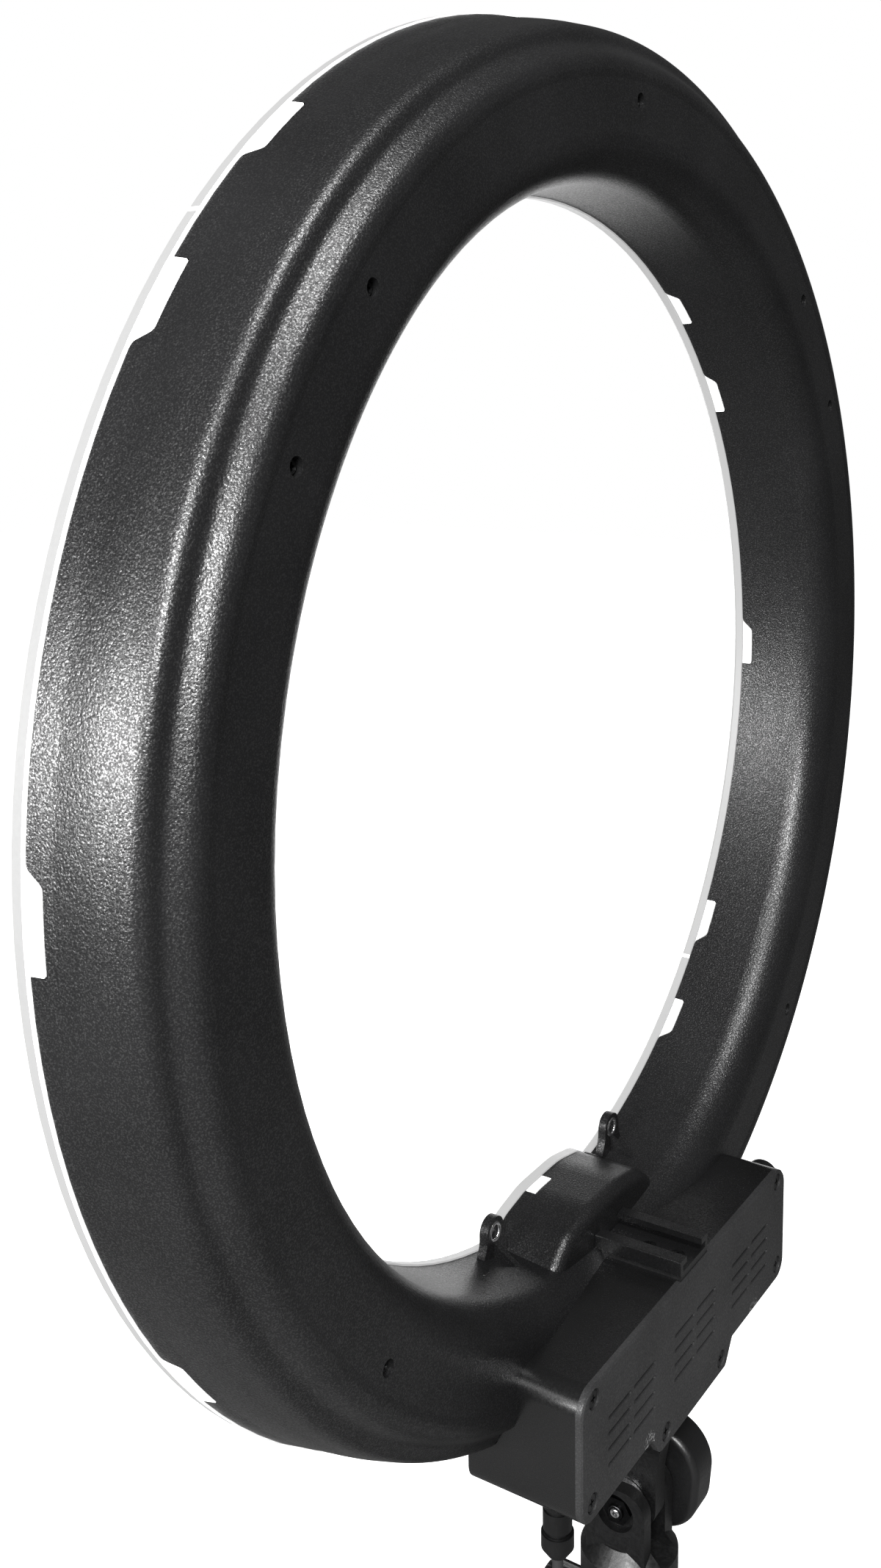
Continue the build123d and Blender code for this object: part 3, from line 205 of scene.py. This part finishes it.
# The profile is smoothed by a Gaussian and moved out along its normals by the gap, or in by the
# sink at its ends. The wall is crowned by crown * sin(pi * share of the wall) ** 2.
def skinProfile():
    s = skinSizes
    even, line = roughProfile()
    reach = int(s["smoothReach"] * s["smooth"] / s["step"])
    weights = np.exp(-0.5 * (np.arange(-reach, reach + 1) * s["step"] / s["smooth"]) ** 2)
    weights /= weights.sum()
    padded = np.pad(line, ((reach, reach), (0, 0)), mode="reflect", reflect_type="odd")
    line = np.stack([np.convolve(padded[:, k], weights, "valid") for k in (0, 1)], axis=1)
    along = np.gradient(line, axis=0)
    out = np.stack([along[:, 1], -along[:, 0]], axis=1)
    out /= np.linalg.norm(out, axis=1)[:, None]
    inside = np.minimum(even / s["fadeWall"], (even[-1] - even) / s["fadeBack"])
    inside = np.clip(inside, 0, 1)
    line = line + out * (s["gap"] * inside - s["sink"] * (1 - inside))[:, None]
    wallLow, wallHigh = s["wallLow"][1], s["wallHigh"][1]
    share = np.clip((line[:, 1] - wallLow) / (wallHigh - wallLow), 0, 1)
    share[np.argmax(share >= 1):] = 1  # past the wall the crown is nought
    line[:, 0] += s["crown"] * np.sin(np.pi * share) ** 2
    return line


def smoothObject(name, points, faces):
    mesh = bpy.data.meshes.new(name)
    mesh.from_pydata(points.tolist(), [], faces.tolist())
    mesh.shade_smooth()
    return addObject(name, mesh)


# Each (radius, depth) of the profile at each turn: (radius * cos, depth, radius * sin).
def makeSkin():
    s = skinSizes
    line = skinProfile()
    turn = np.radians(np.linspace(s["start"], s["end"], s["turns"] + 1))[:, None]
    r, y = line[:, 0][None, :], line[:, 1][None, :]
    points = np.stack([r * np.cos(turn), y + 0 * turn, r * np.sin(turn)], axis=2)
    points = points.reshape(-1, 3) + np.array(ringShift)
    wide = line.shape[0]
    a = (np.arange(s["turns"])[:, None] * wide + np.arange(wide - 1)[None, :]).ravel()
    faces = np.stack([a, a + 1, a + wide + 1, a + wide], axis=1)
    return smoothObject("housing_shoulder", points, faces)


skin = makeSkin()
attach(skin, "head")
print("stage: skin", len(skin.data.vertices))

# Metal eyelets in the two ears, and the low dome on the tilt bolt's head.
eyelet = {"x": 0.0441, "y": 0.00995, "z": -0.1698, "radius": 0.0031, "wire": 0.0007,
          "flat": 0.75, "wirePoints": 25}
crown = {"sunk": 0.0002, "radius": 0.0019, "height": 0.0009, "y": 0.0405, "z": -0.289,
         "points": 16}


# Surface of revolution: each (radius, height) of the profile swung round an axis at the centre.
def turned(name, profile, centre, axis, around=64):
    turn = np.radians(np.arange(around) * 360 / around)
    radius, height = np.array(profile).T
    first, second = [k for k in range(3) if k != axis]
    points = np.zeros((around, len(radius), 3))
    points[:, :, first] = np.cos(turn)[:, None] * radius[None, :]
    points[:, :, second] = np.sin(turn)[:, None] * radius[None, :]
    points[:, :, axis] = height[None, :]
    here = np.arange(around)[:, None] * len(radius) + np.arange(len(radius) - 1)[None, :]
    there = np.roll(here, -1, axis=0)
    faces = np.stack([here, here + 1, there + 1, there], axis=2).reshape(-1, 4)
    return smoothObject(name, points.reshape(-1, 3) + np.array(centre), faces)


# Eyelet's section: radius + wire * cos, flat * wire * sin.
def makeEyelets():
    e = eyelet
    angle = np.radians(np.linspace(0, 360, e["wirePoints"]))
    profile = np.stack([e["radius"] + e["wire"] * np.cos(angle),
                        e["wire"] * e["flat"] * np.sin(angle)], axis=1)
    made = []
    for side, place in (("right", e["x"]), ("left", -e["x"])):
        centre = Vector((place, e["y"], e["z"])) + ringShift
        made.append(turned("ear_eyelet_" + side, profile, centre, 1))
    return made


# Dome's section: height * sqrt(1 - (radius / edge) ** 2).
def makeCrown():
    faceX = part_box("tilt_bolt")[1][0] - crown["sunk"]
    share = np.sin(np.radians(np.linspace(90, 0, crown["points"])))
    profile = np.stack([crown["radius"] * share, crown["height"] * np.sqrt(1 - share ** 2)],
                       axis=1)
    centre = Vector((0.0, crown["y"], crown["z"])) + ringShift
    centre.x = faceX
    return turned("bolt_crown", profile, centre, 0)


eyelets = makeEyelets()
boltCrown = makeCrown()
for piece in eyelets:
    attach(piece, "head")
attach(boltCrown, "stand")
print("stage: eyelets and crown")


# Helpers for the materials; all of their patterns stand on Object coordinates.
def newMaterial(name, roughness=0.5, metallic=0.0, specular=0.5):
    mat = bpy.data.materials.new(name)
    mat.use_nodes = True
    shader = mat.node_tree.nodes["Principled BSDF"]
    shader.inputs["Roughness"].default_value = roughness
    shader.inputs["Metallic"].default_value = metallic
    shader.inputs["Specular IOR Level"].default_value = specular
    return mat, shader


def noiseNode(mat, scale, detail=3.0, stretch=None):
    tree = mat.node_tree
    coords = tree.nodes.new("ShaderNodeTexCoord")
    noise = tree.nodes.new("ShaderNodeTexNoise")
    noise.inputs["Scale"].default_value = scale
    noise.inputs["Detail"].default_value = detail
    noise.inputs["Roughness"].default_value = 0.5
    if stretch:
        mapping = tree.nodes.new("ShaderNodeMapping")
        mapping.inputs["Scale"].default_value = stretch
        tree.links.new(coords.outputs["Object"], mapping.inputs["Vector"])
        tree.links.new(mapping.outputs["Vector"], noise.inputs["Vector"])
    else:
        tree.links.new(coords.outputs["Object"], noise.inputs["Vector"])
    return noise.outputs["Fac"]


# The source's values from start to end become a blend of two colours or of two plain levels.
def ramp(mat, source, low, high, start=0.3, end=0.7):
    tree = mat.node_tree
    node = tree.nodes.new("ShaderNodeValToRGB")
    for stop, place, tone in zip(node.color_ramp.elements, (start, end), (low, high)):
        stop.position = place
        stop.color = (*tone, 1) if isinstance(tone, tuple) else (tone, tone, tone, 1)
    tree.links.new(source, node.inputs["Fac"])
    return node.outputs["Color"]


def bump(mat, shader, source, distance):
    tree = mat.node_tree
    node = tree.nodes.new("ShaderNodeBump")
    node.inputs["Distance"].default_value = distance
    node.inputs["Strength"].default_value = 1.0
    tree.links.new(source, node.inputs["Height"])
    tree.links.new(node.outputs["Normal"], shader.inputs["Normal"])


# Math node with the given operation on two or three sides; each is a socket or a number.
def mathNode(tree, operation, *sides):
    node = tree.nodes.new("ShaderNodeMath")
    node.operation = operation
    for place, value in enumerate(sides):
        if isinstance(value, (int, float)):
            node.inputs[place].default_value = value
        else:
            tree.links.new(value, node.inputs[place])
    return node.outputs[0]


# Another colour laid over the base colour by the given share.
def layColour(mat, share, colour):
    tree = mat.node_tree
    base = tree.nodes["Principled BSDF"].inputs["Base Color"]
    blend = tree.nodes.new("ShaderNodeMix")
    blend.data_type = "RGBA"
    tree.links.new(share, blend.inputs["Factor"])
    tree.links.new(base.links[0].from_socket, blend.inputs["A"])
    blend.inputs["B"].default_value = (*colour, 1)
    tree.links.new(blend.outputs["Result"], base)


# Moulded surface: fine grain in relief, colour and gloss that vary slightly, and specks that
# shine more than the rest where sparkle gives their low and high level.
def speckled(name, dark, light, roughLow, roughHigh, grain, height, specular=0.5, sparkle=None):
    mat, shader = newMaterial(name, specular=specular)
    link = mat.node_tree.links.new
    fine = noiseNode(mat, grain, detail=2.0)
    broad = noiseNode(mat, 22.0, detail=4.0)
    link(ramp(mat, broad, dark, light), shader.inputs["Base Color"])
    link(ramp(mat, fine, roughLow, roughHigh), shader.inputs["Roughness"])
    bump(mat, shader, fine, height)
    if sparkle:
        specks = ramp(mat, noiseNode(mat, grain * 1.5, detail=1.0), *sparkle, 0.48, 0.68)
        link(specks, shader.inputs["Specular IOR Level"])
    return mat


def metal(name, dark, light, roughLow, roughHigh, stretch=None):
    mat, shader = newMaterial(name, metallic=1.0)
    link = mat.node_tree.links.new
    fine = noiseNode(mat, 900.0, stretch=stretch)
    broad = noiseNode(mat, 60.0, detail=4.0)
    link(ramp(mat, broad, dark, light), shader.inputs["Base Color"])
    link(ramp(mat, fine, roughLow, roughHigh), shader.inputs["Roughness"])
    bump(mat, shader, fine, 0.00001)
    return mat


# White cover whose thin outer lip, between two depths, has painted shade and a painted glow: it
# is coloured dark grey and gives light of its own, so it shows grey instead of white under the
# lamps.
# One seam crosses the lip, where z - x is the seam's shift.
lip = {"frontY": -0.0402, "backY": -0.0362, "seamShift": 0.378, "seamHalf": 0.0011,
       "paintedShadeGrey": (0.08, 0.08, 0.0795), "through": 0.42}


def whiteWithPaintedLip():
    mat = speckled("white_diffuser", (0.80, 0.80, 0.795), (0.86, 0.86, 0.855), 0.38, 0.5,
                   800.0, 0.00002)
    tree = mat.node_tree
    shader = tree.nodes["Principled BSDF"]
    coords = tree.nodes.new("ShaderNodeTexCoord")
    split = tree.nodes.new("ShaderNodeSeparateXYZ")
    tree.links.new(coords.outputs["Object"], split.inputs[0])
    x, y, z = split.outputs
    behind = mathNode(tree, "GREATER_THAN", y, lip["frontY"])
    before = mathNode(tree, "LESS_THAN", y, lip["backY"])
    slant = mathNode(tree, "SUBTRACT", z, x)
    across = mathNode(tree, "SUBTRACT", slant, lip["seamShift"])
    across = mathNode(tree, "ABSOLUTE", across, 0.0)
    unseamed = mathNode(tree, "GREATER_THAN", across, lip["seamHalf"])
    share = mathNode(tree, "MULTIPLY", mathNode(tree, "MULTIPLY", behind, before), unseamed)
    # Painted shade: the lip's colour is laid over as a dark grey.
    layColour(mat, share, lip["paintedShadeGrey"])
    # Painted glow: the lip gives light of its own, though it is no lamp, to hold its grey tone.
    shader.inputs["Emission Color"].default_value = (1, 1, 1, 1)
    glow = mathNode(tree, "MULTIPLY", share, lip["through"])
    tree.links.new(glow, shader.inputs["Emission Strength"])
    return mat


# Light scuffs on the box's cover: fine noise that shows only near the given places.
scuffs = {"places": ((0.0369, 0.0259, 0.1442), (-0.0542, 0.0259, 0.1433)), "reach": 0.0042,
          "tone": (0.16, 0.16, 0.16)}


def scuffed(mat):
    tree = mat.node_tree
    coords = tree.nodes.new("ShaderNodeTexCoord")
    marks = ramp(mat, noiseNode(mat, 900.0), (0, 0, 0), (1, 1, 1), 0.5, 0.62)
    near = 0.0
    for place in scuffs["places"]:
        away = tree.nodes.new("ShaderNodeVectorMath")
        away.operation = "DISTANCE"
        tree.links.new(coords.outputs["Object"], away.inputs[0])
        away.inputs[1].default_value = place
        inside = mathNode(tree, "LESS_THAN", away.outputs["Value"], scuffs["reach"])
        near = mathNode(tree, "MAXIMUM", near, inside)
    layColour(mat, mathNode(tree, "MULTIPLY", marks, near), scuffs["tone"])


grained = speckled("black_grained", (0.0048, 0.0048, 0.005), (0.0075, 0.0075, 0.0078), 0.29, 0.41,
                   1400.0, 0.00014, sparkle=(0.22, 1.0))
boxBlack = speckled("box_black", (0.0035, 0.0035, 0.0036), (0.006, 0.006, 0.0062), 0.22, 0.31,
                    1200.0, 0.00001)
coverBlack = speckled("cover_black", (0.013, 0.013, 0.0133), (0.024, 0.024, 0.0245), 0.38, 0.52,
                      1200.0, 0.00008, sparkle=(0.3, 0.8))
scuffed(coverBlack)
smooth = speckled("black_smooth", (0.004, 0.004, 0.0042), (0.007, 0.007, 0.0073), 0.22, 0.32,
                  900.0, 0.00002)
knobBlack = speckled("knob_black", (0.004, 0.004, 0.0042), (0.007, 0.007, 0.0073), 0.3, 0.42,
                     1100.0, 0.00004)
plugBlack = speckled("plug_black", (0.0015, 0.0015, 0.0016), (0.003, 0.003, 0.0031), 0.38, 0.5,
                     900.0, 0.00002, specular=0.35)
blackMetal = speckled("black_metal", (0.002, 0.002, 0.0021), (0.004, 0.004, 0.0042), 0.36, 0.5,
                      700.0, 0.00006)
white = whiteWithPaintedLip()
cordBlack = speckled("cord_black", (0.012, 0.012, 0.0125), (0.02, 0.02, 0.0205), 0.4, 0.55,
                     600.0, 0.00003)
steel = metal("steel", (0.52, 0.52, 0.53), (0.66, 0.66, 0.67), 0.18, 0.34)
brightSteel = metal("bright_steel", (0.75, 0.75, 0.76), (0.88, 0.88, 0.89), 0.14, 0.24)
darkBolt = metal("dark_bolt", (0.02, 0.02, 0.021), (0.045, 0.045, 0.047), 0.28, 0.4)
blackSteel = metal("black_steel", (0.03, 0.03, 0.031), (0.06, 0.06, 0.062), 0.3, 0.45)
aluminium = metal("aluminium_plate", (0.66, 0.66, 0.67), (0.78, 0.78, 0.79), 0.3, 0.42,
                  stretch=(1.0, 1.0, 12.0))
boardWhite = speckled("board_white", (0.72, 0.72, 0.70), (0.8, 0.8, 0.78), 0.35, 0.5,
                      500.0, 0.00002)
boardGreen = speckled("board_green", (0.03, 0.16, 0.07), (0.06, 0.24, 0.1), 0.3, 0.45,
                      400.0, 0.00003)
chipYellow = speckled("chip_yellow", (0.75, 0.58, 0.16), (0.88, 0.72, 0.28), 0.2, 0.3,
                      500.0, 0.00001)
canGrey = metal("can_grey", (0.42, 0.42, 0.44), (0.55, 0.55, 0.57), 0.3, 0.42)
copper = metal("copper", (0.62, 0.33, 0.18), (0.76, 0.45, 0.27), 0.22, 0.4,
               stretch=(1.0, 6.0, 1.0))

# A node wears its slot's material, or its own where it has one.
looks = {
    "black_grained": grained, "black_smooth": smooth, "white_diffuser": white,
    "black_metal": blackMetal, "steel": steel, "black_steel": blackSteel,
    "aluminium_plate": aluminium, "board_white": boardWhite, "board_green": boardGreen,
    "chip_yellow": chipYellow, "can_grey": canGrey, "copper": copper, "cord_black": cordBlack,
}
own = {"tilt_knob": knobBlack, "lock_knob": knobBlack, "control_box": boxBlack,
       "control_box_cover": coverBlack, "tilt_bolt": darkBolt, "dc_plug": plugBlack}
for part in frame["record"]["subparts"]:
    obj = nodes[part["node"]]
    obj.data.materials.clear()
    obj.data.materials.append(own.get(part["node"], looks[part["material_slot"]]))
cord.data.materials.append(cordBlack)
skin.data.materials.append(grained)
for piece in eyelets + [boltCrown]:
    piece.data.materials.append(brightSteel)
print("stage: materials")

# Floor, world and lamps. Glow is the floor's strength where the camera sees it; the floor's
# darker colour where the object mirrors it is painted shade; mirrorDim is the world's change
# where the object mirrors it, and fill is the world's strength as the object's light. A lamp is
# (place, what it points at, size, watts).
stage = {"drop": 0.001, "half": 4.0, "glow": 1.05, "paintedMirrorShade": (0.13, 0.13, 0.13),
         "fill": 0.2, "mirrorDim": -0.11}
ringMiddle = tuple(ringShift)
lamps = {
    "back_top": ((0.37, 0.60, 1.80), ringMiddle, (0.5, 0.5), 25.0),
    "key": ((1.23, 0.56, 1.04), ringMiddle, (0.4, 0.4), 40.0),
    "low_side": ((0.95, -0.16, 0.50), (0.23, -0.02, 0.42), (0.3, 0.2), 12.0),
    "far_card": ((-0.90, -0.65, 0.25), (-0.02, -0.03, 0.54), (0.8, 0.8), 3.0),
}


# Pale floor, lit by the lamps, lifted to white where the camera sees it, and with painted shade
# where the black parts mirror it: there its colour is darker, so their reflections are darker.
def floorMaterial():
    mat, shader = newMaterial("stage_pale", roughness=0.85, specular=0.1)
    tree = mat.node_tree
    rays = tree.nodes.new("ShaderNodeLightPath").outputs
    broad = ramp(mat, noiseNode(mat, 3.0), (0.6, 0.6, 0.6), (0.63, 0.63, 0.63))
    tree.links.new(broad, shader.inputs["Base Color"])
    # Painted shade in reflections: glossy rays see the floor in a darker colour.
    layColour(mat, rays["Is Glossy Ray"], stage["paintedMirrorShade"])
    glow = mathNode(tree, "MULTIPLY", rays["Is Camera Ray"], stage["glow"])
    tree.links.new(glow, shader.inputs["Emission Strength"])
    shader.inputs["Emission Color"].default_value = (1, 1, 1, 1)
    return mat


def makeFloor():
    half, low = stage["half"], cadLow.z - stage["drop"]
    corners = [(-half, -half, low), (half, -half, low), (half, half, low), (-half, half, low)]
    mesh = bpy.data.meshes.new("floor")
    mesh.from_pydata(corners, [], [(0, 1, 2, 3)])
    mesh.materials.append(floorMaterial())
    addObject("floor", mesh)


# White world where it is seen directly, dimmer as light and dimmer again in mirrors.
def makeWorld():
    world = bpy.data.worlds.new("world")
    bpy.context.scene.world = world
    world.use_nodes = True
    tree = world.node_tree
    ground = tree.nodes["Background"]
    ground.inputs["Color"].default_value = (1, 1, 1, 1)
    rays = tree.nodes.new("ShaderNodeLightPath").outputs
    seen = mathNode(tree, "MAXIMUM", rays["Is Camera Ray"], rays["Is Transmission Ray"])
    level = tree.nodes.new("ShaderNodeMapRange")
    level.inputs["To Min"].default_value = stage["fill"]
    level.inputs["To Max"].default_value = 1.0
    tree.links.new(seen, level.inputs["Value"])
    strength = mathNode(tree, "MULTIPLY_ADD", rays["Is Glossy Ray"], stage["mirrorDim"],
                        level.outputs["Result"])
    tree.links.new(strength, ground.inputs["Strength"])


def makeLamp(name, place, aim, size, watts):
    data = bpy.data.lights.new(name, "AREA")
    data.shape = "RECTANGLE"
    data.size, data.size_y = size
    data.energy = watts
    lamp = addObject(name, data)
    lamp.location = place
    lamp.visible_camera = False
    lamp.rotation_mode = "QUATERNION"
    lamp.rotation_quaternion = (Vector(aim) - Vector(place)).to_track_quat("-Z", "Y")


makeFloor()
makeWorld()
for name, values in lamps.items():
    makeLamp(name, *values)
print("stage: floor, world and lamps")

bpy.context.scene.view_settings.view_transform = "Standard"
